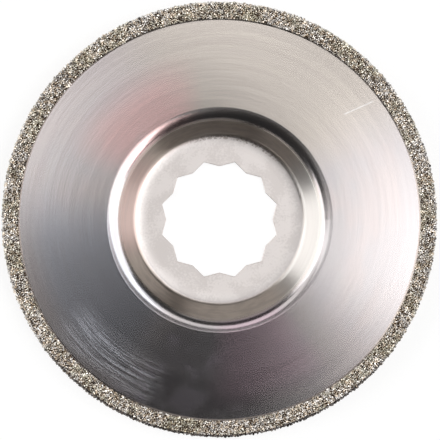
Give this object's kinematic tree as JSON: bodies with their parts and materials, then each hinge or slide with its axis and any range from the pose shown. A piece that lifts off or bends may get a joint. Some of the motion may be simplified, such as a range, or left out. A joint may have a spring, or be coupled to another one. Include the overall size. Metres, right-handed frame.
{
  "type": "diamond saw blade",
  "caption": "Round saw blade of pressed sheet steel with a set-back hub, a twelve-point drive hole and a rim coated in diamond grit, for an oscillating power tool.",
  "frame": {"origin": "centre of the hub's flat back face, which the blade rests on", "axes": "+Z along the blade's axis, out of the dished front where the clamping screw sits; +X through one of the drive hole's inner corners"},
  "size_m": [0.08, 0.08, 0.0049],
  "materials": {
    "brushed_sheet_steel": "ground in circles round the blade's axis, duller on the hub's flat face",
    "diamond_grit_coat": "coarse diamond grains bonded in nickel, rough and sparkling"
  },
  "bodies": {
    "root": {"blade_body": "brushed_sheet_steel", "diamond_rim": "diamond_grit_coat"}
  },
  "joints": []
}
